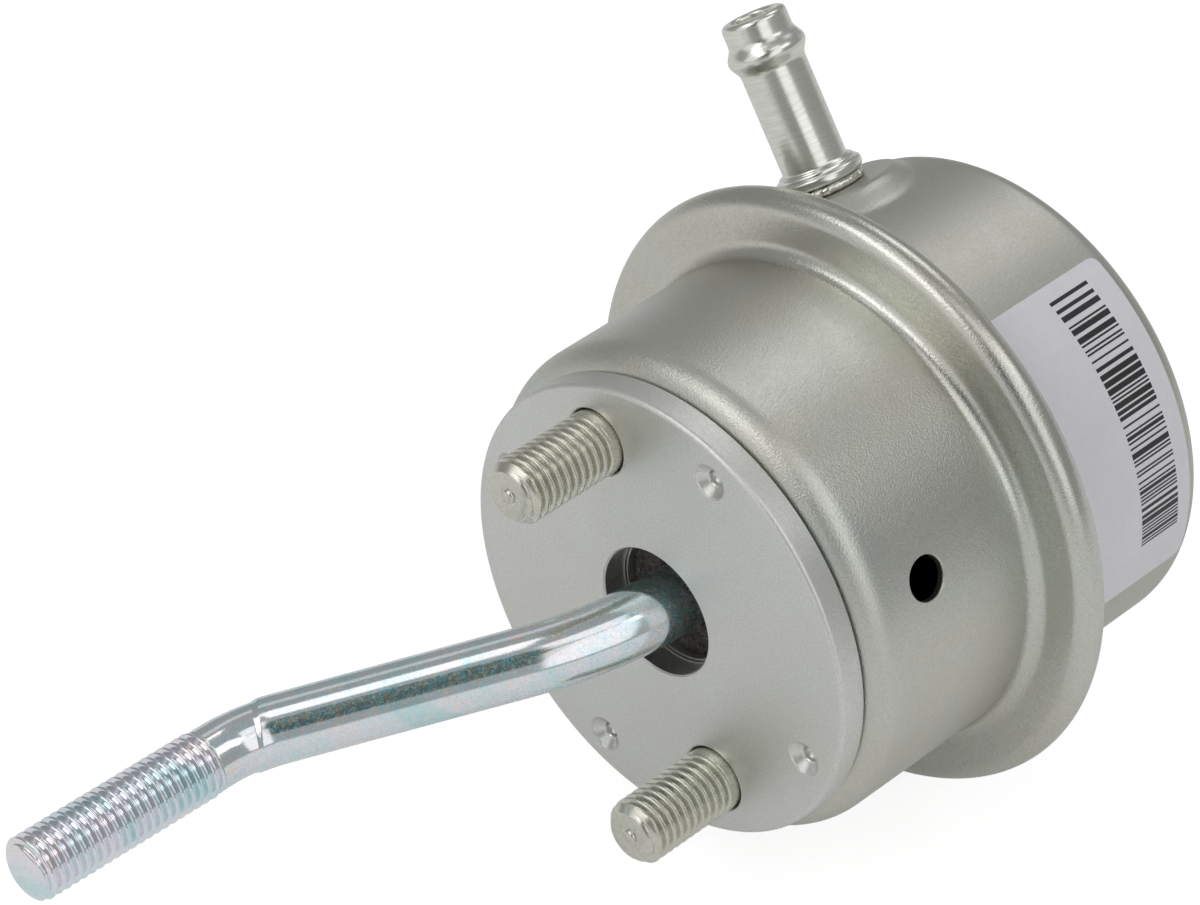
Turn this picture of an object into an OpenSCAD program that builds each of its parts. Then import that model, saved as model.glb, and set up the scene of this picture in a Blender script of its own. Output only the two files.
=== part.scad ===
// Turbo actuator: a spring and a rolling diaphragm inside a crimped sheet-metal
// can move a bent rod with a threaded end, which opens a turbocharger's wastegate.
// The can's axis is X and the rod leaves towards -X. The origin is the centre of
// the mounting plate's front face, and Z is up. Lengths are in millimetres.
// A clock angle turns about X and is counted from +Z towards +Y.

/* [Mounting plate] */
// Diameter of the round plate that seats on the bracket
plate_d = 44.8; // [42.4:0.2:45.6]
// Thickness of the plate
plate_t = 2.66; // [2:0.02:4]
// Diameter of the plate's hole for the rod
plate_hole_d = 12.7; // [11:0.1:15]
// Radius on the plate's front edges
plate_edge_r = 0.5; // [0.2:0.05:0.8]
// Gap that the welds leave between the plate and the can
weld_gap = 0.14; // [0.06:0.02:0.5]
// Diameter of the circle of weld dimples
dimple_circle_d = 38.1; // [36:0.1:38.8]
// Angle from the stud line to the nearest dimples
dimple_clock = 45; // [40:1:50]
// Diameter of a weld dimple at the plate's face
dimple_d = 2.6; // [1.6:0.1:3]
// Depth of a weld dimple
dimple_h = 0.8; // [0.3:0.05:1.1]
// Diameter of the weld nub behind a dimple
weld_d = 2.8; // [1.6:0.1:3]

/* [Studs] */
// Diameter of the circle that the two studs stand on
stud_circle_d = 33.65; // [32.6:0.05:34.6]
// Clock angle of the upper stud
stud_angle = 26; // [0:1:90]
// Major diameter of the stud thread
stud_d = 6.3; // [5:0.05:6.8]
// Length of stud in front of the plate
stud_reach = 10.8; // [8:0.1:16]
// Chamfer at the stud's tip
stud_chamfer = 0.7; // [0.3:0.05:1]
// Diameter of the small nub that upsetting leaves on the tip
stud_nub_d = 1.4; // [0.8:0.1:2]
// Height of that nub
stud_nub_h = 0.25; // [0.1:0.05:0.5]
// Depth of the plain neck behind the thread, down to the thread's pitch diameter
stud_neck_in = 0.28; // [0.2:0.01:0.4]
// How far the shoulder in the can's sheet stands out past the thread
stud_shoulder_out = 0.2; // [0.05:0.05:0.3]
// Diameter of the stud's head inside the can
stud_head_d = 9; // [8.4:0.1:9.4]
// Thickness of the stud's head
stud_head_t = 1.6; // [1:0.1:2.4]
// Radial clearance of a stud in the plate
stud_play = 0.085; // [0.05:0.005:0.2]
// Radial clearance of a stud in the can, where it is a close fit
stud_grip = 0.02; // [0.01:0.005:0.04]

/* [Cans] */
// Thickness of the can sheet
sheet_t = 0.8; // [0.6:0.05:0.85]
// Outer diameter of both cans' walls
can_d = 48.4; // [47.8:0.1:50]
// Diameter of the rod hole in the front can
can_hole_d = 12.2; // [10:0.1:13]
// Radius of the shoulder round the front can's face
shoulder_r = 2.9; // [2:0.1:3.4]
// Distance from the front can's face to its flange
front_depth = 20.7; // [19.7:0.1:26]
// Radius between the front can's wall and its flange
front_fillet_r = 1.5; // [1.2:0.1:2]
// Distance from the rear can's flange to its back
rear_depth = 21.9; // [21.4:0.1:27]
// Radius round the rear can's back
back_r = 2.3; // [1.5:0.1:3]
// Radius between the rear can's wall and its flange
rear_fillet_r = 1.1; // [0.6:0.1:1.4]
// Diameter over the curled flange
flange_d = 60.2; // [60:0.1:64]
// Outer radius of the curl
curl_r = 1.75; // [1.7:0.05:2.2]
// Length of the curl's lip past its round part
lip_l = 0.8; // [0.3:0.1:1.2]
// Distance from the start of the curl in to the rear can's rim
rim_play = 0.1; // [0.05:0.05:0.4]
// Diameter of the vent hole in the front can
vent_d = 4.1; // [3:0.1:5]
// Distance from the front can's face to the vent hole
vent_back = 8.1; // [7:0.1:10]
// Clock angle of the vent hole
vent_angle = -65.5; // [-90:0.5:-40]

/* [Hose nipple] */
// Distance from the rear can's flange to the nipple
nipple_back = 11.4; // [10.8:0.1:11.6]
// Clock angle of the nipple
nipple_angle = 33.4; // [0:0.1:60]
// Height of the flat seat above the can's wall
seat_rise = 0.75; // [0.4:0.05:1.1]
// Diameter of the flat seat at its foot
seat_d = 16; // [14:0.1:16.4]
// Radius round the edge of the flat seat
seat_edge_r = 1.5; // [1.2:0.05:1.8]
// Distance from the seat to the nipple's tip
nipple_l = 17.55; // [14:0.05:24]
// Outer diameter of the nipple's tube
nipple_d = 6.33; // [5:0.01:7]
// Diameter of the nipple's bore
nipple_bore_d = 4; // [3:0.1:4.2]
// Diameter of the hose bead
hose_bead_d = 7.6; // [7.2:0.05:8.4]
// Length of the hose bead
hose_bead_l = 3.25; // [2:0.05:4]
// Distance from the tip to the hose bead
hose_bead_back = 1.9; // [1:0.1:3]
// Diameter of the nipple's base flange
base_d = 8.4; // [7.8:0.1:10]
// Thickness of the nipple's base flange
base_t = 1.7; // [1.2:0.05:2.5]
// Diameter of the spigot that locates the nipple in the can
spigot_d = 5.4; // [4.8:0.1:5.8]
// Length of the spigot below the base flange
spigot_l = 1.9; // [1.6:0.1:2.4]
// Outer diameter of the weld ring under the base flange
ring_d = 7.9; // [7:0.1:8.6]
// Height of the weld ring
ring_h = 0.95; // [0.5:0.05:1.2]
// Radial clearance of the spigot
spigot_play = 0.05; // [0.02:0.01:0.2]

/* [Rod] */
// Diameter of the rod
rod_d = 6.35; // [5.4:0.05:7]
// Distance from the can's face forward to the first bend's corner
bend1_front = 7.5; // [7.2:0.1:12]
// Angle of the first bend
bend1_angle = 38; // [15:1:42]
// Radius of the first bend's centre line
bend1_r = 24; // [14:0.5:24.5]
// Clock angle that the first bend points to
bend_clock = 109.7; // [90:0.1:130]
// Distance between the corners of the two bends
bend_pitch = 34.17; // [28:0.1:45]
// Angle of the second bend, back towards the can's axis direction
bend2_angle = 36; // [20:1:42]
// Radius of the second bend's centre line
bend2_r = 9.8; // [8:0.1:14]
// Part of the second bend that still has the rod's full diameter
bend2_full = 12; // [8:1:16]
// Diameter of the neck between the step and the thread
neck_d = 5.98; // [5:0.02:6.1]
// Distance from the second bend's corner to the thread
thread_start = 4.9; // [4.6:0.1:10]
// Length of the rod's thread
thread_l = 20.2; // [12:0.1:32]
// Major diameter of the rod's thread
thread_d = 6.3; // [6.15:0.05:7]
// Depth of the lead-in at the thread's inner end
thread_lead = 0.25; // [0.1:0.05:0.4]
// Height of the domed tip past the thread
tip_h = 0.9; // [0.5:0.1:1.4]
// Diameter of the flat on the domed tip
tip_flat_d = 3.4; // [2:0.1:4]
// Diameter of the rivet shank behind the rod's shoulder
rivet_d = 4.8; // [3.6:0.1:5]
// Diameter of the rivet head
rivet_head_d = 8; // [6.4:0.1:10]
// Thickness of the rivet head
rivet_head_t = 1.6; // [1:0.1:1.8]

/* [Rod guide] */
// Thickness of the spring seat's sheet
cup_t = 0.7; // [0.5:0.05:0.9]
// Outer diameter of the spring seat
cup_d = 24; // [22.6:0.1:24.2]
// Inner diameter of the spring seat's hub
hub_d = 14.8; // [14.6:0.1:15]
// Radius at the foot and at the top of the hub
hub_r = 0.6; // [0.3:0.1:0.8]
// Diameter of the hole at the hub's back
hub_hole_d = 9.2; // [8:0.1:11]
// Thickness of the wiper washer
wiper_t = 2; // [1.2:0.1:3]
// Radial clearance of the wiper washer round the rod
wiper_play = 0.12; // [0.05:0.01:0.2]
// Length of the guide bush
bush_l = 3.4; // [2.4:0.1:5]
// Radial clearance of the rod in the guide bush
bush_play = 0.06; // [0.02:0.01:0.09]
// Radial float of the guide bush in the hub
bush_float = 0.4; // [0.2:0.05:0.8]
// End clearance of the guide bush and of the wiper washer
guide_end_play = 0.1; // [0.05:0.05:0.3]

/* [Spring] */
// Wire diameter of the return spring
wire_d = 2.4; // [1.6:0.1:2.4]
// Mean diameter of the return spring
coil_d = 19.2; // [18.8:0.1:21]
// Number of turns, with one closed turn at each end
coil_turns = 8; // [5:0.5:9]
// Clearance between the closed turns
coil_close = 0.15; // [0.1:0.05:0.4]
// End clearance of the spring on its seats
spring_end_play = 0.03; // [0.02:0.01:0.1]

/* [Piston and diaphragm] */
// Thickness of the piston's sheet
piston_t = 0.9; // [0.6:0.05:1.2]
// Outer diameter of the piston's skirt
piston_d = 38; // [36:0.1:38.6]
// Depth of the piston
piston_l = 23; // [22:0.1:25]
// Radius round the piston's head
piston_r = 2.5; // [1.5:0.1:3.5]
// Thickness of the diaphragm
film_t = 0.7; // [0.4:0.05:0.8]
// Clearance of the diaphragm to the skirt and to the can's wall
film_play = 0.15; // [0.08:0.01:0.25]
// Distance from the flange forward to the middle of the diaphragm's roll
roll_front = 2.4; // [2.1:0.1:4]
// Distance from the rear can's rim in to the rim of the diaphragm's bead
bead_inset = 0.2; // [0.1:0.1:1]
// Outer diameter of the diaphragm's retainer
retainer_d = 33; // [28:0.2:33.4]
// Thickness of the retainer
retainer_t = 0.9; // [0.6:0.05:1]
// Height of the retainer's turned-up rim
retainer_rim = 1; // [0.4:0.1:1.2]
// Outer diameter of the washer between the rod's shoulder and the piston
washer_d = 14; // [10:0.1:15]
// Thickness of that washer
washer_t = 1.2; // [0.8:0.1:2]
// Radial clearance of the pieces that the rivet holds
rivet_play = 0.05; // [0.03:0.01:0.15]
// Gap between the rivet head and the rear can with the rod fully in
rest_gap = 0.3; // [0.3:0.05:0.8]

/* [Hidden] */
$fn = 96;

// Steps of an arc in a turned profile
arc_steps = 10;
// Overrun of a cut past the face that it opens
cut = 1;
// Radial swell of the rod in a bend, and how far a straight part runs into it
bend_swell = 0.01;
bend_lap = 0.3;

// Places along the axis, from the front to the back
can_x = plate_t + weld_gap;
inside_x = can_x + sheet_t;
ring_x = can_x + front_depth;
curl_x = ring_x + curl_r;
bead_t = 2 * curl_r - 3 * sheet_t;
bead_x = ring_x + sheet_t;
rim_x = bead_x + bead_t;
back_x = rim_x + rear_depth;
wiper_x = inside_x + guide_end_play;
bush_x = wiper_x + wiper_t + guide_end_play;
hub_x = bush_x + bush_l + guide_end_play;
rivet_x = back_x - sheet_t - rest_gap;
retainer_x = rivet_x - rivet_head_t - retainer_t;
film_x = retainer_x - film_t;
piston_x = film_x - piston_t;
washer_x = piston_x - washer_t;
roll_x = ring_x - roll_front;
nipple_x = rim_x + nipple_back;
vent_x = can_x + vent_back;

// Radii of the cans
can_r = can_d / 2;
bore_r = can_r - sheet_t;
curl_mid_r = flange_d / 2 - curl_r;
rim_r = curl_mid_r - rim_play;
shoulder_mid_r = can_r - shoulder_r;
front_fillet_mid_r = can_r + front_fillet_r;
rear_fillet_mid_r = can_r + rear_fillet_r;
back_mid_r = can_r - back_r;

// Radii of the piston, the diaphragm and the rivet
piston_rad = piston_d / 2;
piston_mid_r = piston_rad - piston_r;
film_in_r = piston_rad + film_play;
film_out_r = bore_r - film_play;
roll_mid_r = (film_in_r + film_out_r) / 2;
roll_r = (film_out_r - film_in_r) / 2;
rivet_hole_r = rivet_d / 2 + rivet_play;
hub_in_r = hub_d / 2;
hub_out_r = hub_in_r + cup_t;

// Heights along the nipple, from the can's axis
seat_z = can_r + seat_rise;
base_z = seat_z + ring_h;
tip_z = seat_z + nipple_l;
hose_bead_z = tip_z - hose_bead_back - hose_bead_l;

// Points of an arc about [r, x]: 0 degrees points outwards and 90 points to +X
function arc(r, x, rad, from, to) = [
    for (i = [0:arc_steps])
        let (a = from + (to - from) * i / arc_steps)
        [r + rad * cos(a), x + rad * sin(a)]
];

// Turns a profile of [radius, x] points about the X axis
module turned(points) {
    rotate([0, 90, 0])
        rotate_extrude()
            polygon(points);
}

// Puts its children at x along the axis with their own Z pointing to a clock angle
module at_clock(clock, x = 0) {
    translate([x, 0, 0])
        rotate([-clock, 0, 0])
            children();
}

// Cylinder along X
module bar(d, from, to) {
    translate([from, 0, 0])
        rotate([0, 90, 0])
            cylinder(d = d, h = to - from);
}

// Puts its children on the stud circle, once for each stud
module on_studs() {
    for (side = [0, 180])
        at_clock(stud_angle + side)
            translate([0, 0, stud_circle_d / 2])
                children();
}

// Puts its children on the dimple circle, beside the studs on both sides
module on_dimples() {
    for (side = [0, 180], turn = [-1, 1])
        at_clock(stud_angle + side + turn * dimple_clock)
            translate([0, 0, dimple_circle_d / 2])
                children();
}

// Front can, turned from one sheet: face, shoulder, wall, flange ring and curl
module front_can_sheet() {
    turned(concat(
        [[can_hole_d / 2, can_x]],
        arc(shoulder_mid_r, can_x + shoulder_r, shoulder_r, -90, 0),
        arc(front_fillet_mid_r, ring_x - front_fillet_r, front_fillet_r, 180, 90),
        arc(curl_mid_r, curl_x, curl_r, -90, 90),
        [[curl_mid_r - lip_l, curl_x + curl_r]],
        [[curl_mid_r - lip_l, curl_x + curl_r - sheet_t]],
        arc(curl_mid_r, curl_x, curl_r - sheet_t, 90, -90),
        arc(front_fillet_mid_r, ring_x - front_fillet_r, front_fillet_r + sheet_t, 90, 180),
        arc(shoulder_mid_r, can_x + shoulder_r, shoulder_r - sheet_t, 0, -90),
        [[can_hole_d / 2, inside_x]]
    ));
}

module front_can() {
    color([0.62, 0.62, 0.58])
    difference() {
        front_can_sheet();
        on_studs()
            bar(stud_d + 2 * (stud_shoulder_out + stud_grip), can_x - cut, inside_x + cut);
        at_clock(vent_angle, vent_x)
            translate([0, 0, can_r - shoulder_r])
                cylinder(d = vent_d, h = shoulder_r + cut);
    }
}

// Rear can sheet: flange, wall, rounded back
module rear_can_sheet() {
    turned(concat(
        [[rim_r, rim_x]],
        arc(rear_fillet_mid_r, rim_x + sheet_t + rear_fillet_r, rear_fillet_r + sheet_t, -90, -180),
        arc(back_mid_r, back_x - back_r, back_r - sheet_t, 0, 90),
        [[0, back_x - sheet_t], [0, back_x]],
        arc(back_mid_r, back_x - back_r, back_r, 90, 0),
        arc(rear_fillet_mid_r, rim_x + sheet_t + rear_fillet_r, rear_fillet_r, 180, 270),
        [[rim_r, rim_x + sheet_t]]
    ));
}

// Round boss with a flat top at height top, from half-way down the can's wall
module seat_boss(rad, top, edge) {
    rotate_extrude()
        polygon(concat(
            [[0, can_r - seat_d / 4], [rad, can_r - seat_d / 4]],
            arc(rad - edge, top - edge, edge, 0, 90),
            [[0, top]]
        ));
}

module rear_can() {
    color([0.60, 0.60, 0.57])
    difference() {
        union() {
            rear_can_sheet();
            difference() {
                at_clock(nipple_angle, nipple_x)
                    seat_boss(seat_d / 2, seat_z, seat_edge_r);
                bar(2 * can_r - sheet_t, rim_x, back_x);
            }
        }
        at_clock(nipple_angle, nipple_x)
            seat_boss(seat_d / 2 - sheet_t, seat_z - sheet_t, seat_edge_r - sheet_t);
        at_clock(nipple_angle, nipple_x)
            translate([0, 0, can_r - seat_d / 4])
                cylinder(d = spigot_d + 2 * spigot_play, h = seat_d / 4 + seat_rise + cut);
    }
}

// Stamped plate, with its weld dimples in front and the weld nubs behind
module mounting_plate() {
    color([0.66, 0.66, 0.62])
    difference() {
        union() {
            turned(concat(
                [[plate_hole_d / 2, 0]],
                arc(plate_d / 2 - plate_edge_r, plate_edge_r, plate_edge_r, -90, 0),
                [[plate_d / 2, plate_t], [plate_hole_d / 2, plate_t]]
            ));
            on_dimples()
                bar(weld_d, plate_t / 2, can_x);
        }
        on_studs()
            bar(stud_d + 2 * stud_play, -cut, plate_t + cut);
        // A ball that cuts dimple_d at the face and goes dimple_h deep
        on_dimples()
            translate([dimple_h - dimple_ball_r(), 0, 0])
                sphere(r = dimple_ball_r());
    }
}

function dimple_ball_r() = (pow(dimple_d / 2, 2) + pow(dimple_h, 2)) / (2 * dimple_h);

// Headed stud about its own axis: head, shoulder, plain neck in the plate, thread in front of it
module stud() {
    shoulder_r = stud_d / 2 + stud_shoulder_out;
    neck_r = stud_d / 2 - stud_neck_in;
    color([0.68, 0.66, 0.60])
    turned([
        [0, inside_x + stud_head_t],
        [stud_head_d / 2, inside_x + stud_head_t],
        [stud_head_d / 2, inside_x],
        [shoulder_r, inside_x],
        [shoulder_r, can_x],
        [neck_r, can_x],
        [neck_r, stud_neck_in],
        [stud_d / 2, 0],
        [stud_d / 2, stud_chamfer - stud_reach],
        [stud_d / 2 - stud_chamfer, -stud_reach],
        [stud_nub_d / 2, -stud_reach],
        [stud_nub_d / 2, -stud_reach - stud_nub_h],
        [0, -stud_reach - stud_nub_h]
    ]);
}

module stud_upper() {
    at_clock(stud_angle)
        translate([0, 0, stud_circle_d / 2])
            stud();
}

module stud_lower() {
    at_clock(stud_angle + 180)
        translate([0, 0, stud_circle_d / 2])
            stud();
}

// Turned nipple: spigot, two-step base flange, tube, hose bead and rounded nose
module hose_nipple() {
    tube_r = nipple_d / 2;
    base_r = base_d / 2;
    step_r = (tube_r + base_r) / 2;
    wall = tube_r - nipple_bore_d / 2;
    bead_rise = hose_bead_d / 2 - tube_r;
    color([0.72, 0.73, 0.70])
    at_clock(nipple_angle, nipple_x)
        rotate_extrude()
            polygon(concat(
                [[nipple_bore_d / 2, base_z - spigot_l], [spigot_d / 2, base_z - spigot_l]],
                [[spigot_d / 2, base_z], [ring_d / 2, base_z]],
                arc(base_r - base_t / 4, base_z + base_t / 2, base_t / 4, -45, 45),
                [[step_r, base_z + base_t * 0.8], [tube_r, base_z + base_t]],
                [
                    for (i = [0:2 * arc_steps])
                        let (a = 180 * i / arc_steps)
                        [tube_r + bead_rise * (1 - cos(a)) / 2, hose_bead_z + hose_bead_l * a / 360]
                ],
                arc(tube_r - wall / 2, tip_z - wall / 2, wall / 2, 0, 90),
                [[nipple_bore_d / 2, tip_z - wall / 2]]
            ));
}

// Weld ring between the nipple's base flange and the seat
module nipple_weld() {
    inner_r = spigot_d / 2 + spigot_play;
    color([0.80, 0.79, 0.74])
    at_clock(nipple_angle, nipple_x)
        rotate_extrude()
            polygon(concat(
                [[inner_r, seat_z]],
                arc(ring_d / 2 - ring_h / 2, seat_z + ring_h / 2, ring_h / 2, -90, 90),
                [[inner_r, base_z]]
            ));
}

// Pressed seat: a flange under the spring and a hub over the bush and the wiper
module spring_seat() {
    color([0.55, 0.55, 0.50])
    turned(concat(
        [[cup_d / 2, inside_x], [cup_d / 2, inside_x + cup_t]],
        arc(hub_out_r + hub_r, inside_x + cup_t + hub_r, hub_r, 270, 180),
        arc(hub_out_r - hub_r - cup_t, hub_x - hub_r, hub_r + cup_t, 0, 90),
        [[hub_hole_d / 2, hub_x + cup_t], [hub_hole_d / 2, hub_x]],
        arc(hub_in_r - hub_r, hub_x - hub_r, hub_r, 90, 0),
        arc(hub_out_r + hub_r, inside_x + cup_t + hub_r, hub_r + cup_t, 180, 270)
    ));
}

// Plain ring along X
module collar(in_r, out_r, from, to) {
    turned([[in_r, from], [out_r, from], [out_r, to], [in_r, to]]);
}

module guide_bush() {
    in_r = rod_d / 2 + bush_play;
    out_r = hub_in_r - bush_float;
    edge = bush_float;
    color([0.28, 0.26, 0.24])
    turned([
        [in_r, bush_x], [out_r - edge, bush_x], [out_r, bush_x + edge],
        [out_r, bush_x + bush_l - edge], [out_r - edge, bush_x + bush_l], [in_r, bush_x + bush_l]
    ]);
}

module wiper_washer() {
    color([0.22, 0.17, 0.13])
    collar(rod_d / 2 + wiper_play, hub_in_r - bush_float, wiper_x, wiper_x + wiper_t);
}

// Round wire wound on a helix, with one closed turn and a ground face at each end
module return_spring() {
    sides = 10;
    steps_per_turn = 24;
    steps = coil_turns * steps_per_turn;
    first_x = inside_x + cup_t + spring_end_play;
    last_x = piston_x - spring_end_play;
    close_pitch = wire_d + coil_close;
    // The wire's centre starts a little inside the ground face
    end_in = wire_d * 0.3;
    start_x = first_x + end_in;
    length = last_x - first_x - 2 * end_in;
    open_pitch = (length - 2 * close_pitch) / (coil_turns - 2);

    function centre_x(turn) =
        turn < 1 ? start_x + close_pitch * turn
        : turn > coil_turns - 1 ? start_x + length - close_pitch * (coil_turns - turn)
        : start_x + close_pitch + open_pitch * (turn - 1);

    points = [
        for (i = [0:steps], j = [0:sides - 1])
            let (
                turn = i / steps_per_turn,
                a = 360 * turn,
                b = 360 * j / sides,
                rad = coil_d / 2 + wire_d / 2 * cos(b),
                x = centre_x(turn) + wire_d / 2 * sin(b)
            )
            [min(max(x, first_x), last_x), rad * cos(a), rad * sin(a)]
    ];
    skin = [
        for (i = [0:steps - 1], j = [0:sides - 1])
            let (k = (j + 1) % sides)
            [i * sides + j, i * sides + k, (i + 1) * sides + k, (i + 1) * sides + j]
    ];
    first_cap = [for (j = [0:sides - 1]) sides - 1 - j];
    last_cap = [for (j = [0:sides - 1]) steps * sides + j];
    color([0.35, 0.36, 0.37])
    polyhedron(points, concat(skin, [first_cap], [last_cap]));
}

// Deep pressed cup, open to the front
module piston() {
    head_x = piston_x + piston_t;
    color([0.58, 0.58, 0.55])
    turned(concat(
        [[rivet_hole_r, piston_x], [rivet_hole_r, head_x]],
        arc(piston_mid_r, head_x - piston_r, piston_r, 90, 0),
        [[piston_rad, head_x - piston_l], [piston_rad - piston_t, head_x - piston_l]],
        arc(piston_mid_r, head_x - piston_r, piston_r - piston_t, 0, 90)
    ));
}

module rod_washer() {
    color([0.62, 0.62, 0.58])
    collar(rivet_hole_r, washer_d / 2, washer_x, piston_x);
}

// Rolling diaphragm: flat head, leg down the skirt, roll, leg up the wall, bead
module diaphragm() {
    corner_x = film_x - piston_r;
    fillet_x = ring_x - front_fillet_r;
    wall_r = front_fillet_r + sheet_t + film_play;
    head_mid_r = piston_mid_r + film_play;
    bead_in_r = front_fillet_mid_r + film_play;
    color([0.10, 0.10, 0.10])
    turned(concat(
        [[rivet_hole_r, film_x]],
        arc(head_mid_r, corner_x, piston_r, 90, 0),
        arc(roll_mid_r, roll_x, roll_r, 180, 360),
        arc(front_fillet_mid_r, fillet_x, wall_r, 180, 90),
        [[bead_in_r, bead_x], [rim_r - bead_inset, bead_x]],
        [[rim_r - bead_inset, rim_x], [bead_in_r, rim_x]],
        arc(front_fillet_mid_r, fillet_x, wall_r + film_t, 90, 180),
        arc(roll_mid_r, roll_x, roll_r - film_t, 360, 180),
        arc(head_mid_r, corner_x, piston_r + film_t, 0, 90),
        [[rivet_hole_r, retainer_x]]
    ));
}

// Disc with a turned-up rim that holds the diaphragm on the piston
module diaphragm_retainer() {
    rad = retainer_d / 2;
    bend = retainer_t + retainer_rim / 2;
    color([0.62, 0.62, 0.58])
    turned(concat(
        [[rivet_hole_r, retainer_x]],
        arc(rad - bend, retainer_x + bend, bend, -90, -30),
        arc(rad - bend, retainer_x + bend, bend - retainer_t, -30, -90),
        [[rivet_hole_r, retainer_x + retainer_t]]
    ));
}

// A rod bend that starts at the origin, runs to -X and turns towards +Y, or -Y.
// Straight parts run into it by bend_lap, inside its slightly swollen section.
module bend(d, r, angle, side) {
    translate([0, side * r, 0])
        rotate([0, 0, side > 0 ? -90 - angle : 90])
            rotate_extrude(angle = angle)
                translate([r, 0])
                    circle(d = d + 2 * bend_swell);
}

// Puts its children at the end of such a bend
module past_bend(r, angle, side) {
    translate([0, side * r, 0])
        rotate([0, 0, -side * angle])
            translate([0, -side * r, 0])
                children();
}

// Straight part that slides in the bush, with the rivet shank and the rivet head
module rod_root(bend_x) {
    rivet_r = rivet_head_d / 2;
    dome = rivet_head_t / 3;
    bar(rod_d, bend_x - bend_lap, washer_x);
    bar(rivet_d, washer_x - washer_t, rivet_x - rivet_head_t / 2);
    turned([
        [0, rivet_x], [rivet_r - 2 * dome, rivet_x], [rivet_r, rivet_x - dome],
        [rivet_r, rivet_x - rivet_head_t], [0, rivet_x - rivet_head_t]
    ]);
}

// Neck, thread shank and domed tip, running to -X from the end of the second bend
module rod_end(neck_l) {
    lead = (thread_d - neck_d) / 2 + thread_lead;
    tip_x = -neck_l - thread_l;
    bar(neck_d, -neck_l - 2 * lead, bend_lap);
    turned([
        [0, -neck_l], [thread_d / 2 - lead, -neck_l], [thread_d / 2, -neck_l - lead],
        [thread_d / 2, tip_x + tip_h],
        [(thread_d + tip_flat_d + tip_h) / 4, tip_x + tip_h / 3],
        [tip_flat_d / 2, tip_x], [0, tip_x]
    ]);
}

// Round rod, bent twice: riveted to the piston at one end and threaded at the other
module actuator_rod() {
    bend1_in = bend1_r * tan(bend1_angle / 2);
    bend2_in = bend2_r * tan(bend2_angle / 2);
    bend_x = can_x - bend1_front + bend1_in;
    straight_l = bend_pitch - bend1_in - bend2_in;
    // The neck starts inside the full-size part of the second bend
    neck_from = bend2_full / 2;
    color([0.70, 0.74, 0.76])
    rotate([90 - bend_clock, 0, 0])
    union() {
        rod_root(bend_x);
        translate([bend_x, 0, 0]) {
            bend(rod_d, bend1_r, bend1_angle, 1);
            past_bend(bend1_r, bend1_angle, 1) {
                bar(rod_d, -straight_l - bend_lap, bend_lap);
                translate([-straight_l, 0, 0]) {
                    bend(rod_d, bend2_r, bend2_full, -1);
                    past_bend(bend2_r, neck_from, -1)
                        bend(neck_d, bend2_r, bend2_angle - neck_from, -1);
                    past_bend(bend2_r, bend2_angle, -1)
                        rod_end(thread_start - bend2_in);
                }
            }
        }
    }
}

front_can();
rear_can();
mounting_plate();
stud_upper();
stud_lower();
hose_nipple();
nipple_weld();
spring_seat();
guide_bush();
wiper_washer();
return_spring();
piston();
rod_washer();
diaphragm();
diaphragm_retainer();
actuator_rod();
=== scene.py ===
import math
import random
import bmesh
import bpy
import numpy as np
from mathutils import Matrix, Vector, noise


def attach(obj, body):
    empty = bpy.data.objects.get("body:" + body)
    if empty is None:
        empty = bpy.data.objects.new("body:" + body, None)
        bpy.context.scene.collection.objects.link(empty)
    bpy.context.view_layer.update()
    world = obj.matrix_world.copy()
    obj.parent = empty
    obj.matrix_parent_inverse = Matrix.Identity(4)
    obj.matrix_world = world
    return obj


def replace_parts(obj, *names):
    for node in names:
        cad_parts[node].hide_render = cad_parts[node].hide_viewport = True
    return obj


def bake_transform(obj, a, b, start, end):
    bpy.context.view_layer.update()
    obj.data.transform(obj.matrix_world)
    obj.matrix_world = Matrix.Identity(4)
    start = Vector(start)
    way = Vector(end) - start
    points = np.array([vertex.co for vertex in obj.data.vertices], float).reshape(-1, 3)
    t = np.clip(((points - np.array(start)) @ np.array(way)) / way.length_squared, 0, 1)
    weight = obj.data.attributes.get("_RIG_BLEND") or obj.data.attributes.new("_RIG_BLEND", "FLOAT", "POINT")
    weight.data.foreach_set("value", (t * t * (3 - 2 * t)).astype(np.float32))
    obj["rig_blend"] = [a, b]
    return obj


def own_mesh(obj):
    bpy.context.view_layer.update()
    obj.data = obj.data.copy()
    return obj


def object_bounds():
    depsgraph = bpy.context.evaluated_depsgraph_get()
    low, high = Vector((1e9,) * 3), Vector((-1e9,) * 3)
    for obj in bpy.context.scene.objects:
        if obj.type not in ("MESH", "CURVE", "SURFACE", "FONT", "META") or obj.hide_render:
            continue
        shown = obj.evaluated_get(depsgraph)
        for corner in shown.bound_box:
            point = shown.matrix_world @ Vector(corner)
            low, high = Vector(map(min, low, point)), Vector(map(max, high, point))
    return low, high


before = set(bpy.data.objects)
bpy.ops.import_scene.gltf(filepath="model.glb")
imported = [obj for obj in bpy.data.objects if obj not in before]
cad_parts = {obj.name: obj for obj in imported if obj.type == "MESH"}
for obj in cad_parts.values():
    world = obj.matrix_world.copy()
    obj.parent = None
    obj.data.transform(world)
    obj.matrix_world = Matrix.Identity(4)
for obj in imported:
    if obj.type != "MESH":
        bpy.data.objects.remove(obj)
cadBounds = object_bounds()
scene = bpy.context.scene
mm = 0.001

# Node trees are built with one helper: a node, its settings and what goes into it


def addNode(tree, kind, inputs=None, **settings):
    made = tree.nodes.new(kind)
    for key, value in settings.items():
        setattr(made, key, value)
    for key, value in (inputs or {}).items():
        socket = made.inputs[key]
        if isinstance(value, bpy.types.NodeSocket):
            tree.links.new(value, socket)
        else:
            socket.default_value = value
    return made


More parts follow.
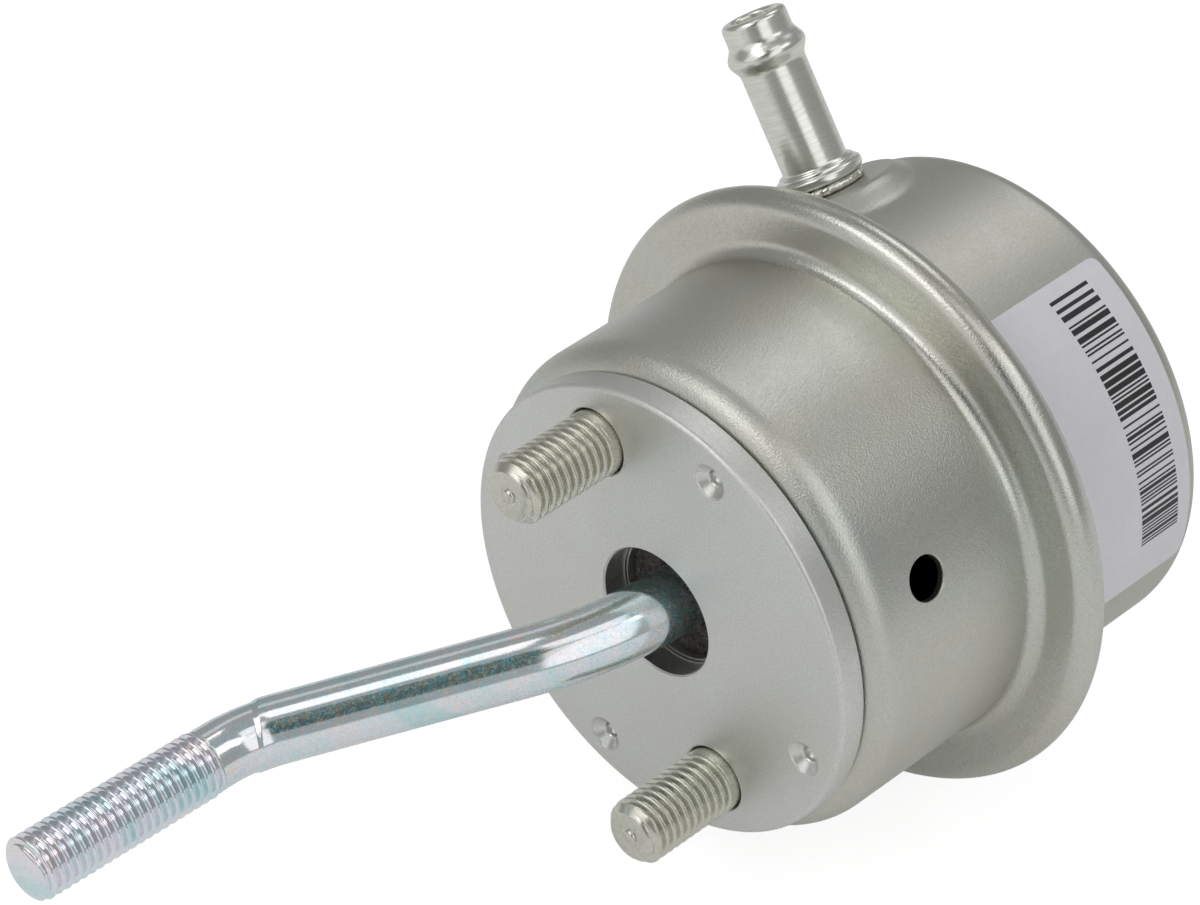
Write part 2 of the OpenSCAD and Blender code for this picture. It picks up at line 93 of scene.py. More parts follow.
def newMaterial(name):
    material = bpy.data.materials.new(name)
    material.use_nodes = True
    tree = material.node_tree
    tree.nodes.clear()
    return material, tree


def showSurface(tree, shader):
    addNode(tree, "ShaderNodeOutputMaterial", {"Surface": shader.outputs[0]})


def socketMath(tree, operation, a, b=0.0, clamp=False):
    return addNode(tree, "ShaderNodeMath", {0: a, 1: b}, operation=operation, use_clamp=clamp).outputs[0]


def spread(tree, value, low, high, newLow, newHigh):
    # maps low..high to newLow..newHigh and holds the ends
    return addNode(tree, "ShaderNodeMapRange", {
        "Value": value, "From Min": low, "From Max": high, "To Min": newLow, "To Max": newHigh,
    }).outputs[0]


# Camera and studio


def vectorFrom(azimuth, elevation):
    # unit vector, azimuth counted from +X towards +Y, both in degrees
    a, e = math.radians(azimuth), math.radians(elevation)
    return Vector((math.cos(a) * math.cos(e), math.sin(a) * math.cos(e), math.sin(e)))


photoView = {
    "aim": (2.779, 9.567, 11.252),  # a point on the lens axis, mm
    "azimuth": -135.726,
    "elevation": 37.611,
    "distance": 429.59,  # mm from that point
    "lens": 145.07,
    "sensor": 36.0,
    "nearest": 0.01,  # m
    "farthest": 20,
}

softBoxes = {
    # name: azimuth, elevation, width m, height m, brightness
    "leftUpper": (160, 50, 0.84, 0.32, 1.85),
    "leftLower": (167, 21, 0.80, 0.58, 0.55),
    "rightWall": (-107, 31, 0.62, 0.92, 0.78),
    "rightUpper": (-60, 50, 0.42, 0.32, 1.25),
    "frontTop": (-108, 70, 0.45, 0.32, 0.75),
    "overhead": (128, 72, 0.36, 0.18, 1.05),
    "backUpper": (20, 50, 0.42, 0.32, 1.42),
    "back": (66, 41, 0.36, 0.2, 0.32),
    "backRight": (0, 10, 0.40, 0.32, 0.15),
}

studio = {
    "lampDistance": 0.9,  # m from the part
    "floorSize": 8.0,  # m
    "floorGap": 0.0002,  # m under the part
    "floorPaint": 0.9,
    "shadowPaint": 0.45,  # the paint as the camera sees it, which keeps the shadow light
    "floorGlow": 0.82,  # for the camera
    "glossGlow": 0.07,  # for reflections, dark as in the photograph
    "worldLevel": 0.31,  # for the part; the camera sees a white world
}

blackCard = {
    # the dark side of the room, behind the camera
    "azimuth": -148,
    "elevation": 46,
    "width": 0.62,  # m
    "height": 0.72,
    "behindLamps": 0.1,  # m
    "paint": (0.05, 0.05, 0.05),
}


def placeCamera():
    v = photoView
    data = bpy.data.cameras.new("photoCamera")
    data.lens = v["lens"]
    data.sensor_width = v["sensor"]
    data.clip_start, data.clip_end = v["nearest"], v["farthest"]
    camera = bpy.data.objects.new("photoCamera", data)
    scene.collection.objects.link(camera)
    back = vectorFrom(v["azimuth"], v["elevation"])
    camera.location = Vector(v["aim"]) * mm + back * v["distance"] * mm
    camera.rotation_mode = "QUATERNION"
    camera.rotation_quaternion = (-back).to_track_quat("-Z", "Y")
    scene.camera = camera


def hangRound(item, azimuth, elevation, distance):
    # hangs a lamp or card round the part, its local -Z towards it
    out = vectorFrom(azimuth, elevation)
    item.location = out * distance
    item.rotation_mode = "QUATERNION"
    item.rotation_quaternion = out.to_track_quat("Z", "Y")


def placeLamps():
    for name, (azimuth, elevation, width, height, brightness) in softBoxes.items():
        data = bpy.data.lights.new(name, "AREA")
        data.shape = "RECTANGLE"
        data.size, data.size_y = width, height
        data.energy = brightness * math.pi * width * height
        lamp = bpy.data.objects.new(name, data)
        scene.collection.objects.link(lamp)
        hangRound(lamp, azimuth, elevation, studio["lampDistance"])


def placeWorld():
    world = bpy.data.worlds.new("studioWorld")
    scene.world = world
    world.use_nodes = True
    tree = world.node_tree
    tree.nodes.clear()
    cameraRay = addNode(tree, "ShaderNodeLightPath").outputs["Is Camera Ray"]
    white = (1, 1, 1, 1)
    room = addNode(tree, "ShaderNodeBackground", {"Color": white, "Strength": studio["worldLevel"]})
    backdrop = addNode(tree, "ShaderNodeBackground", {"Color": white, "Strength": 1.0})
    mix = addNode(tree, "ShaderNodeMixShader", {0: cameraRay, 1: room.outputs[0], 2: backdrop.outputs[0]})
    addNode(tree, "ShaderNodeOutputWorld", {"Surface": mix.outputs[0]})


def flatSheet(name, width, height, level, material):
    w, h = width / 2, height / 2
    corners = [(-w, -h, level), (w, -h, level), (w, h, level), (-w, h, level)]
    mesh = bpy.data.meshes.new(name)
    mesh.from_pydata(corners, [], [(0, 1, 2, 3)])
    mesh.materials.append(material)
    sheet = bpy.data.objects.new(name, mesh)
    scene.collection.objects.link(sheet)
    return sheet


def placeFloor(level):
    # paint that takes the shadow, and a glow that only the camera and reflections see
    material, tree = newMaterial("studioFloor")
    ray = addNode(tree, "ShaderNodeLightPath").outputs
    grey = spread(tree, ray["Is Camera Ray"], 0, 1, studio["floorPaint"], studio["shadowPaint"])
    paint = addNode(tree, "ShaderNodeBsdfDiffuse", {"Color": grey})
    seen = socketMath(tree, "MULTIPLY", ray["Is Camera Ray"], studio["floorGlow"])
    through = socketMath(tree, "ADD", ray["Is Glossy Ray"], ray["Is Transmission Ray"])
    mirrored = socketMath(tree, "MULTIPLY", through, studio["glossGlow"])
    glow = addNode(tree, "ShaderNodeEmission", {"Strength": socketMath(tree, "ADD", mirrored, seen)})
    showSurface(tree, addNode(tree, "ShaderNodeAddShader", {0: paint.outputs[0], 1: glow.outputs[0]}))
    floor = flatSheet("floor", studio["floorSize"], studio["floorSize"], level, material)


def placeCard():
    c = blackCard
    material, tree = newMaterial("blackCard")
    showSurface(tree, addNode(tree, "ShaderNodeBsdfDiffuse", {"Color": (*c["paint"], 1)}))
    card = flatSheet("blackCard", c["width"], c["height"], 0, material)
    hangRound(card, c["azimuth"], c["elevation"], studio["lampDistance"] + c["behindLamps"])


placeCamera()
placeLamps()
placeWorld()
placeFloor(cadBounds[0].z - studio["floorGap"])
placeCard()
print("studio ready")

# Meshes


def clamped(value):
    return min(1.0, max(0.0, value))


def eased(t):
    return t * t * (3 - 2 * t)


def clockDirection(clock):
    # unit vector across the can's axis, clock angle counted from +Z towards +Y
    c = math.radians(clock)
    return Vector((0, math.sin(c), math.cos(c)))


def onCircle(radius, clock):
    return clockDirection(clock) * radius


def axisPlace(origin, direction):
    # matrix that takes local +X to a direction and the local origin to a point in mm
    x = Vector(direction).normalized()
    side = Vector((1, 0, 0)) if abs(x.x) < 0.5 else Vector((0, 0, 1))
    z = x.cross(side).normalized()
    y = z.cross(x)
    turn = Matrix((x, y, z)).transposed().to_4x4()
    return Matrix.Translation(Vector(origin) * mm) @ turn


def arc(radius, along, bend, start, end, steps=12):
    # points [r, x] of a round corner: 0 degrees points outwards, 90 to +X
    return [
        [radius + bend * math.cos(math.radians(start + (end - start) * i / steps)),
         along + bend * math.sin(math.radians(start + (end - start) * i / steps))]
        for i in range(steps + 1)
    ]


def refine(outline, step):
    # splits the closed outline's long straight stretches
    fine = []
    for (r0, x0), (r1, x1) in zip(outline, outline[1:] + outline[:1]):
        parts = max(1, math.ceil(math.hypot(r1 - r0, x1 - x0) / step))
        fine += [[r0 + (r1 - r0) * k / parts, x0 + (x1 - x0) * k / parts] for k in range(parts)]
    return fine


def closedMesh(name, points, faces):
    # mesh with all its faces turned outwards
    mesh = bpy.data.meshes.new(name)
    mesh.from_pydata(points, [], faces)
    mesh.validate()
    work = bmesh.new()
    work.from_mesh(mesh)
    bmesh.ops.recalc_face_normals(work, faces=work.faces)
    work.to_mesh(mesh)
    work.free()
    return mesh


def anglesOf(segments):
    return [2 * math.pi * k / segments for k in range(segments)]


def addRing(points, rings, ring, segments):
    # adds a ring of points, or the one point on the axis that closes an end
    if len(ring) == 1:
        rings.append([len(points)] * segments)
    else:
        rings.append(range(len(points), len(points) + segments))
    points += ring


def ringFaces(rings, segments):
    # joins each ring to the next; at a closed end the quads become triangles
    faces = []
    for low, high in zip(rings, rings[1:]):
        for k in range(segments):
            m = (k + 1) % segments
            corner = [low[k], low[m], high[m], high[k]]
            corner = [v for i, v in enumerate(corner) if v not in corner[:i]]
            if len(corner) > 2:
                faces.append(corner)
    return faces


def turnedMesh(name, outline, segments, place=Matrix(), warp=None):
    # revolves a closed outline of [r, x] points in mm about the local X axis
    points, rings = [], []
    angles = anglesOf(segments)
    for r, x in outline:
        ring = [(x, r * math.cos(a), r * math.sin(a)) for a in angles] if r else [(x, 0.0, 0.0)]
        addRing(points, rings, ring, segments)
    if warp:
        points = warp(np.array(points, float)).tolist()
    points = [place @ (Vector(p) * mm) for p in points]
    return closedMesh(name, points, ringFaces(rings + rings[:1], segments))


def carved(mesh, cutters):
    # cuts the cutter meshes out of a mesh
    base = bpy.data.objects.new("carveBase", mesh)
    scene.collection.objects.link(base)
    tools = []
    for cutter in cutters:
        tool = bpy.data.objects.new("carveTool", cutter)
        scene.collection.objects.link(tool)
        tools.append(tool)
        cut = base.modifiers.new("cut", "BOOLEAN")
        cut.operation, cut.object, cut.solver = "DIFFERENCE", tool, "EXACT"
    bpy.context.view_layer.update()
    shown = base.evaluated_get(bpy.context.evaluated_depsgraph_get())
    result = bpy.data.meshes.new_from_object(shown)
    for item in tools + [base]:
        bpy.data.objects.remove(item)
    return result


def finishPiece(name, mesh, body, material, sharp=35):
    mesh.validate()
    for polygon in mesh.polygons:
        polygon.use_smooth = True
    mesh.set_sharp_from_angle(angle=math.radians(sharp))
    mesh.materials.clear()
    mesh.materials.append(material)
    piece = bpy.data.objects.new(name, mesh)
    scene.collection.objects.link(piece)
    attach(piece, body)
    return piece


# Materials


def noiseOf(tree, vector, scale, detail=3.0, roughness=0.55, distortion=0.0):
    return addNode(tree, "ShaderNodeTexNoise", {
        "Vector": vector, "Scale": scale, "Detail": detail,
        "Roughness": roughness, "Distortion": distortion,
    }).outputs["Fac"]


def webOf(tree, vector, scale, detail, roughness, distortion):
    # 0 along thin wandering lines
    middle = socketMath(tree, "SUBTRACT", noiseOf(tree, vector, scale, detail, roughness, distortion), 0.5)
    return socketMath(tree, "ABSOLUTE", middle)


def blendColour(tree, share, first, second):
    # a Mix node's colours are its inputs 6 and 7 and its output 2
    made = addNode(tree, "ShaderNodeMix", data_type="RGBA")
    for key, value in ((0, share), (6, first), (7, second)):
        socket = made.inputs[key]
        if isinstance(value, bpy.types.NodeSocket):
            tree.links.new(value, socket)
        else:
            socket.default_value = (*value, 1) if key else value
    return made.outputs[2]


def darker(tone, shares):
    return [c * w for c, w in zip(tone, shares)]


def bumpOf(tree, height, depth):
    # depth in mm
    return addNode(tree, "ShaderNodeBump", {
        "Height": height, "Strength": 1.0, "Distance": depth * mm,
    }).outputs[0]


wornZones = {
    "burnishFrom": 0.04,  # mm behind the plate's face
    "burnishFull": 0.12,
    "burnishRadius": 20.9,  # mm, clear of the plate's edge
    "burnishEnd": 21.1,
    "crimpFrom": 21.7,  # X in mm, on the front can's flange fillet
    "crimpFull": 22.3,
    "grainLeft": 0.5,  # share of the grain's height on the worn metal
}

zincLook = {
    "cloud": 90,  # scale of the noise
    "cloudSpan": (0.3, 0.7),  # noise values where the effect starts and ends
    "cloudTone": (0.98, 0.97, 0.93),  # shares of the tone
    "patch": 55,
    "patchSpan": (0.42, 0.72),
    "speckSpan": (0.35, 0.65),
    "speckTone": (0.7, 0.7, 0.7),
    "speckShare": 0.42,
    "pitSize": 0.3,  # scale as a share of the grain's
    "pitSpan": (0.24, 0.2),
    "pitTone": (0.4, 0.4, 0.4),
    "pitShare": 0.6,
    "roughSpan": (0.7, 1.3),
}

dullLook = {"cloud": 150, "mottleSpan": (0.15, 0.4)}


def burnish(tree, place):
    # share of rubbed metal: behind the plate's face and inside its dimples and stud holes
    z = wornZones
    depth = addNode(tree, "ShaderNodeSeparateXYZ", {"Vector": place}).outputs["X"]
    flat = addNode(tree, "ShaderNodeVectorMath", {0: place, 1: (0, 1, 1)}, operation="MULTIPLY").outputs[0]
    away = addNode(tree, "ShaderNodeVectorMath", {0: flat}, operation="LENGTH").outputs["Value"]
    inside = spread(tree, away, z["burnishRadius"] * mm, z["burnishEnd"] * mm, 1, 0)
    behind = spread(tree, depth, z["burnishFrom"] * mm, z["burnishFull"] * mm, 0, 1)
    return socketMath(tree, "MULTIPLY", behind, inside)


def crimpPolish(tree, place):
    # share of metal smoothed by the crimping rolls: the front can from its flange fillet on
    z = wornZones
    depth = addNode(tree, "ShaderNodeSeparateXYZ", {"Vector": place}).outputs["X"]
    return spread(tree, depth, z["crimpFrom"] * mm, z["crimpFull"] * mm, 0, 1)


def zincMaterial(name, tone, film, filmShare, rough, grain, grainHeight, roughSpread=0.05,
                 turn=(0, 0, 0), stretch=(1, 1, 1), worn=None, smoother=0.0):
    # zinc plate: cloudy tone, a thin chromate film in patches, and a sandy grain
    z = zincLook
    material, tree = newMaterial(name)
    place = addNode(tree, "ShaderNodeTexCoord").outputs["Object"]
    turned = addNode(tree, "ShaderNodeMapping", {"Vector": place, "Rotation": turn}).outputs[0]
    along = addNode(tree, "ShaderNodeMapping", {"Vector": turned, "Scale": stretch}).outputs[0]
    cloud = noiseOf(tree, along, z["cloud"], detail=4)
    speck = noiseOf(tree, along, grain, detail=2, roughness=0.7)
    pit = noiseOf(tree, place, grain * z["pitSize"], detail=2, roughness=0.5)
    patch = noiseOf(tree, place, z["patch"], roughness=0.6, distortion=0.6)
    patch = spread(tree, patch, *z["patchSpan"], 0, filmShare)
    light = spread(tree, cloud, *z["cloudSpan"], 0, 1)
    shade = blendColour(tree, light, darker(tone, z["cloudTone"]), tone)
    shade = blendColour(tree, patch, shade, film)
    dark = spread(tree, speck, *z["speckSpan"], z["speckShare"], 0)
    shade = blendColour(tree, dark, shade, darker(tone, z["speckTone"]))
    hole = spread(tree, pit, *z["pitSpan"], 0, z["pitShare"])
    shade = blendColour(tree, hole, shade, darker(tone, z["pitTone"]))
    uneven = socketMath(tree, "ADD", speck, cloud)
    roughness = spread(tree, uneven, *z["roughSpan"], rough + roughSpread, rough - roughSpread)
    if worn:
        share = worn(tree, place)
        roughness = socketMath(tree, "ADD", roughness, socketMath(tree, "MULTIPLY", share, -smoother))
        speck = socketMath(tree, "MULTIPLY", speck, spread(tree, share, 0, 1, 1, wornZones["grainLeft"]))
    skin = addNode(tree, "ShaderNodeBsdfPrincipled", {
        "Base Color": shade, "Metallic": 1.0, "Roughness": roughness,
        "Normal": bumpOf(tree, speck, grainHeight),
    })
    showSurface(tree, skin)
    return material


def iridescentZinc(name, look):
    # bright zinc under a clear blue chromate film: crisp reflections, with a frosted mottle over them
    material, tree = newMaterial(name)
    place = addNode(tree, "ShaderNodeTexCoord").outputs["Object"]
    cloud = noiseOf(tree, place, look["patches"], roughness=0.6, distortion=0.8)
    fleck = noiseOf(tree, place, look["flecks"], detail=4, roughness=0.75, distortion=0.6)
    web = webOf(tree, place, look["web"], detail=3, roughness=0.7, distortion=1.5)
    ramp = addNode(tree, "ShaderNodeValToRGB", {"Fac": cloud})
    while len(ramp.color_ramp.elements) < len(look["film"]):
        ramp.color_ramp.elements.new(0.5)
    for stop, (at, colour) in zip(ramp.color_ramp.elements, look["film"]):
        stop.position, stop.color = at, (*colour, 1)
    rough, uneven = look["rough"], look["roughSpread"]
    bright = addNode(tree, "ShaderNodeBsdfPrincipled", {
        "Base Color": ramp.outputs[0], "Metallic": 1.0,
        "Roughness": spread(tree, fleck, *look["roughSpan"], rough + uneven, rough - uneven),
    })
    warm = noiseOf(tree, place, look["flecks"] * look["tintSize"], roughness=0.6)
    warm = spread(tree, warm, *look["tintSpan"], 0, 1)
    tint = blendColour(tree, warm, look["frostCool"], look["frostWarm"])
    height = socketMath(tree, "ADD", fleck, spread(tree, web, 0.0, look["webWidth"], look["webHeight"], 0))
    frost = addNode(tree, "ShaderNodeBsdfPrincipled", {
        "Base Color": tint, "Metallic": 1.0, "Roughness": look["frostRough"],
        "Normal": bumpOf(tree, height, look["relief"]),
    })
    share = spread(tree, fleck, *look["frostSpan"], look["frostLow"], look["frostHigh"])
    scratches = spread(tree, web, 0.0, look["webWidth"], look["scratches"], 0)
    share = socketMath(tree, "ADD", share, scratches, True)
    along = addNode(tree, "ShaderNodeSeparateXYZ", {"Vector": place}).outputs["X"]
    threadEnd = (look["threadAt"] - look["threadFade"]) * mm
    unthreaded = spread(tree, along, threadEnd, look["threadAt"] * mm, look["threadFrost"], 1)
    share = socketMath(tree, "MULTIPLY", share, unthreaded)
    both = addNode(tree, "ShaderNodeMixShader", {0: share, 1: bright.outputs[0], 2: frost.outputs[0]})
    showSurface(tree, both)
    return material


def dullMaterial(name, tone, dark, rough, grain, grainHeight, strands=None):
    # rubber, fibre, carbon, paper and ink: a mottled tone, a grain and, on the fibre, loose strands
    material, tree = newMaterial(name)
    place = addNode(tree, "ShaderNodeTexCoord").outputs["Object"]
    speck = noiseOf(tree, place, grain, detail=4, roughness=0.65)
    cloud = noiseOf(tree, place, dullLook["cloud"])
    mottle = spread(tree, socketMath(tree, "MULTIPLY", speck, cloud), *dullLook["mottleSpan"], 0, 1)
    shade = blendColour(tree, mottle, dark, tone)
    if strands:
        web = webOf(tree, place, strands["scale"], detail=2, roughness=0.6, distortion=2.5)
        web = spread(tree, web, strands["core"], strands["width"], strands["share"], 0)
        shade = blendColour(tree, web, shade, strands["tone"])
    skin = addNode(tree, "ShaderNodeBsdfPrincipled", {
        "Base Color": shade, "Roughness": rough, "Normal": bumpOf(tree, speck, grainHeight),
    })
    showSurface(tree, skin)
    return material


nippleClock = 33.4  # degrees, the hose nipple's place round the can

canZinc = zincMaterial(
    "canZinc", tone=(0.66, 0.66, 0.61), film=(0.60, 0.66, 0.62), filmShare=0.55,
    rough=0.35, grain=5000, grainHeight=0.05, worn=crimpPolish, smoother=0.085)
rearZinc = zincMaterial(
    "rearZinc", tone=(0.62, 0.62, 0.58), film=(0.60, 0.62, 0.59), filmShare=0.4,
    rough=0.42, grain=5000, grainHeight=0.03)
plateZinc = zincMaterial(
    "plateZinc", tone=(0.77, 0.78, 0.76), film=(0.745, 0.775, 0.745), filmShare=0.4,
    rough=0.45, grain=4600, grainHeight=0.026, worn=burnish, smoother=0.12)
studZinc = zincMaterial(
    "studZinc", tone=(0.72, 0.71, 0.64), film=(0.66, 0.71, 0.62), filmShare=0.5,
    rough=0.26, grain=3000, grainHeight=0.006)
nippleZinc = zincMaterial(
    "nippleZinc", tone=(0.84, 0.85, 0.80), film=(0.78, 0.83, 0.81), filmShare=0.5,
    rough=0.24, grain=2400, grainHeight=0.01,
    turn=(math.radians(nippleClock), 0, 0), stretch=(0.12, 0.12, 1.6))  # turning marks round the tube
weldZinc = zincMaterial(
    "weldZinc", tone=(0.78, 0.77, 0.72), film=(0.70, 0.72, 0.68), filmShare=0.3,
    rough=0.2, grain=1500, grainHeight=0.02, roughSpread=0.06)
rodZinc = iridescentZinc("rodZinc", {
    "film": [(0.32, (0.68, 0.84, 0.88)), (0.44, (0.82, 0.88, 0.93)), (0.54, (0.92, 0.88, 0.96)),
             (0.62, (0.96, 0.88, 0.91)), (0.72, (0.84, 0.92, 0.90))],
    "patches": 170,
    "flecks": 3200,
    "web": 1100,
    "webWidth": 0.03,  # of the fine lines, in noise values
    "webHeight": 0.8,
    "rough": 0.12,
    "roughSpread": 0.03,
    "roughSpan": (0.3, 0.7),
    "frostCool": (0.30, 0.84, 0.92),
    "frostWarm": (0.74, 0.80, 0.66),
    "tintSize": 0.6,  # scale of the warm patches as a share of the flecks'
    "tintSpan": (0.42, 0.58),
    "frostRough": 0.42,
    "frostSpan": (0.38, 0.66),
    "frostLow": 0.08,
    "frostHigh": 0.38,
    "scratches": 0.18,
    "relief": 0.015,
    "threadAt": -36.4,  # X of the thread's start: the rolled thread has little frost
    "threadFade": 0.8,
    "threadFrost": 0.3,  # share of the frost that is left on the thread
})
innerSteel = zincMaterial(
    "innerSteel", tone=(0.50, 0.50, 0.47), film=(0.44, 0.46, 0.42), filmShare=0.4,
    rough=0.4, grain=1500, grainHeight=0.01)
springSteel = zincMaterial(
    "springSteel", tone=(0.26, 0.27, 0.29), film=(0.22, 0.24, 0.27), filmShare=0.4,
    rough=0.35, grain=1200, grainHeight=0.01)
wiperFibre = dullMaterial(
    "wiperFibre", tone=(0.13, 0.11, 0.10), dark=(0.008, 0.007, 0.007),
    rough=0.8, grain=1700, grainHeight=0.25,
    strands={"tone": (0.30, 0.28, 0.25), "scale": 420, "core": 0.003, "width": 0.010, "share": 0.8})
bushCarbon = dullMaterial(
    "bushCarbon", tone=(0.06, 0.055, 0.05), dark=(0.03, 0.03, 0.03),
    rough=0.5, grain=1500, grainHeight=0.02)
rubberFilm = dullMaterial(
    "rubberFilm", tone=(0.035, 0.035, 0.035), dark=(0.02, 0.02, 0.02),
    rough=0.6, grain=2500, grainHeight=0.02)
labelPaper = dullMaterial(
    "labelPaper", tone=(0.80, 0.80, 0.84), dark=(0.76, 0.76, 0.80),
    rough=0.35, grain=1200, grainHeight=0.004)
labelInk = dullMaterial(
    "labelInk", tone=(0.035, 0.033, 0.035), dark=(0.02, 0.02, 0.02),
    rough=0.5, grain=2500, grainHeight=0.004)
print("materials ready")

# Cans

studPlaces = {
    "circle": 16.825,  # radius from the can's axis
    "clocks": (26, 206),  # degrees, upper and lower stud
}

canSizes = {
    "sheet": 0.8,
    "wall": 24.2,  # outer radius
    "faceAt": 2.8,
    "faceHole": 6.1,
    "shoulder": 2.9,
    "studHole": 3.37,
    "ringAt": 23.5,  # front of the flange ring
    "frontFillet": 1.5,
    "curl": 1.75,
    "flange": 30.1,  # outer radius over the curl
    "lip": 0.8,
    "rimAt": 25.4,
    "rearFillet": 1.1,
    "rim": 28.25,
    "backAt": 47.3,
    "backRound": 2.3,
    "ventRadius": 2.05,
    "ventAt": 10.9,
    "ventClock": -65.5,
    "ventEdge": 0.3,
    "ventPlain": 0.35,  # depth where the plain hole starts
    "ventFlare": 0.6,  # wider by, outside the wall
    "frontSegments": 288,
    "rearSegments": 320,
    "frontStep": 0.7,  # longest straight stretch of the outline
    "rearStep": 0.5,
}

nippleSizes = {
    "at": 36.8,
    "seatTop": 24.95,
    "seatFlat": 6.5,
    "seatFoot": 8.4,
    "base": 25.9,  # underside of the base flange
    "baseRadius": 4.2,
    "baseHeight": 1.7,
    "baseRound": 0.35,
    "baseFrom": 0.4,  # heights of the base flange's rounded edge
    "baseTo": 0.75,
    "collarFoot": (0.45, 1.12),  # in from the base's edge, and up
    "collarRound": 0.3,
    "collarIn": 0.75,
    "collarAt": 1.2,
    "fillet": 0.25,
    "filletUp": 0.1,
    "tube": 3.165,
    "bore": 2.0,
    "boreRound": 0.3,
    "spigot": 2.7,
    "spigotLong": 1.9,
    "beadFrom": 37.35,
    "beadLead": 0.2,
    "beadLength": 3.25,
    "beadRadius": 3.8,
    "tip": 42.5,
    "tipRound": 0.55,
    "weldRadius": 3.95,
    "play": 0.05,  # between the spigot and its hole
}


def nippleAxis():
    return axisPlace((nippleSizes["at"], 0, 0), clockDirection(nippleClock))


def frontCan():
    s = canSizes
    sheet, wall, curl = s["sheet"], s["wall"], s["curl"]
    curlMid = s["flange"] - curl
    filletMid = wall + s["frontFillet"]
    filletAt = s["ringAt"] - s["frontFillet"]
    shoulderAt = s["faceAt"] + s["shoulder"]
    outline = [[s["faceHole"], s["faceAt"]]]
    outline += arc(wall - s["shoulder"], shoulderAt, s["shoulder"], -90, 0, 16)
    outline += arc(filletMid, filletAt, s["frontFillet"], 180, 90)
    outline += arc(curlMid, s["ringAt"] + curl, curl, -90, 90, 24)
    outline += arc(curlMid - s["lip"], s["ringAt"] + 2 * curl - sheet / 2, sheet / 2, 90, 270, 6)
    outline += arc(curlMid, s["ringAt"] + curl, curl - sheet, 90, -90, 16)
    outline += arc(filletMid, filletAt, s["frontFillet"] + sheet, 90, 180)
    outline += arc(wall - s["shoulder"], shoulderAt, s["shoulder"] - sheet, 0, -90)
    outline += [[s["faceHole"], s["faceAt"] + sheet]]
    mesh = turnedMesh("frontCan", refine(outline, s["frontStep"]), s["frontSegments"])
    vent, edge = s["ventRadius"], s["ventEdge"]
    cutFrom, cutTo = wall - 3, wall + 1  # well inside and outside the wall
    ventCutter = turnedMesh("ventCutter", [
        [0, cutFrom], [vent, cutFrom], [vent, wall - s["ventPlain"]],
        *arc(vent + edge, wall - edge, edge, 180, 120, 4), [vent + s["ventFlare"], cutTo], [0, cutTo],
    ], 64, axisPlace((s["ventAt"], 0, 0), clockDirection(s["ventClock"])))
    hole = s["studHole"]
    cutFrom, cutTo = 2, 4  # in front of and behind the face
    studCutters = [
        turnedMesh("shoulderHole", [[0, cutFrom], [hole, cutFrom], [hole, cutTo], [0, cutTo]], 64,
                   Matrix.Translation(onCircle(studPlaces["circle"], clock) * mm))
        for clock in studPlaces["clocks"]
    ]
    return carved(mesh, [ventCutter, *studCutters])


def rearCan():
    s, n = canSizes, nippleSizes
    sheet, wall = s["sheet"], s["wall"]
    filletMid = wall + s["rearFillet"]
    filletAt = s["rimAt"] + sheet + s["rearFillet"]
    backMid = wall - s["backRound"]
    backAt = s["backAt"] - s["backRound"]
    outline = [[s["rim"], s["rimAt"]]]
    outline += arc(filletMid, filletAt, s["rearFillet"] + sheet, 270, 180)
    outline += arc(backMid, backAt, s["backRound"] - sheet, 0, 90)
    outline += [[0, s["backAt"] - sheet], [0, s["backAt"]]]
    outline += arc(backMid, backAt, s["backRound"], 90, 0, 16)
    outline += arc(filletMid, filletAt, s["rearFillet"], 180, 270)
    outline += [[s["rim"], s["rimAt"] + sheet]]
    up = np.array(clockDirection(nippleClock))

    def raiseSeat(points):
        # lifts the wall round the nipple to a flat round seat
        out = points @ up
        side = points - np.outer(out, up)
        side[:, 0] -= n["at"]
        away = np.linalg.norm(side, axis=1)
        near = (out > wall * 0.8) & (away < n["seatFoot"])  # not the far side of the can
        depth = np.where(np.linalg.norm(points[:, 1:], axis=1) < wall - sheet / 2, sheet, 0)
        share = eased(np.clip((n["seatFoot"] - away) / (n["seatFoot"] - n["seatFlat"]), 0, 1))
        lift = np.where(near, (n["seatTop"] - depth - out) * share, 0)
        return points + np.outer(lift, up)

    mesh = turnedMesh("rearCan", refine(outline, s["rearStep"]), s["rearSegments"], warp=raiseSeat)
    hole = n["spigot"] + n["play"]
    cutFrom, cutTo = wall - 3, wall + 2  # well inside the wall and above the seat
    seatHole = [[0, cutFrom], [hole, cutFrom], [hole, cutTo], [0, cutTo]]
    return carved(mesh, [turnedMesh("seatHole", seatHole, 64, nippleAxis())])


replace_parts(finishPiece("frontCan", frontCan(), "housing", canZinc), "front_can")
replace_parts(finishPiece("rearCan", rearCan(), "housing", rearZinc), "rear_can")
print("cans ready")

# Mounting plate and studs

plateSizes = {
    "radius": 22.4,
    "thick": 2.66,
    "edge": 0.5,
    "hole": 6.35,
    "holeEdge": 0.15,
    "studHole": 3.235,
    "studHoleEdge": [(0.35, -1), (0.22, -0.01), (0.08, 0.08), (0, 0.22)],  # wider by, at a depth
    "dimpleCircle": 19.05,
    "dimpleClock": 45,  # degrees to each side of the studs
    "dimpleRadius": 1.68,
    "dimpleDeep": 1.5,
    "dimpleEdge": [(0.1, -1), (0.1, -0.01), (0, 0.06), (-0.06, 0.16)],  # wider by, at a depth
    "pitRadius": 0.72,
    "pitFrom": 0.7,  # share of the dimple's depth
    "pitEdge": [(0.24, 0.48), (0.1, 0.53), (0.02, 0.6)],  # wider by, at a share of the depth
}

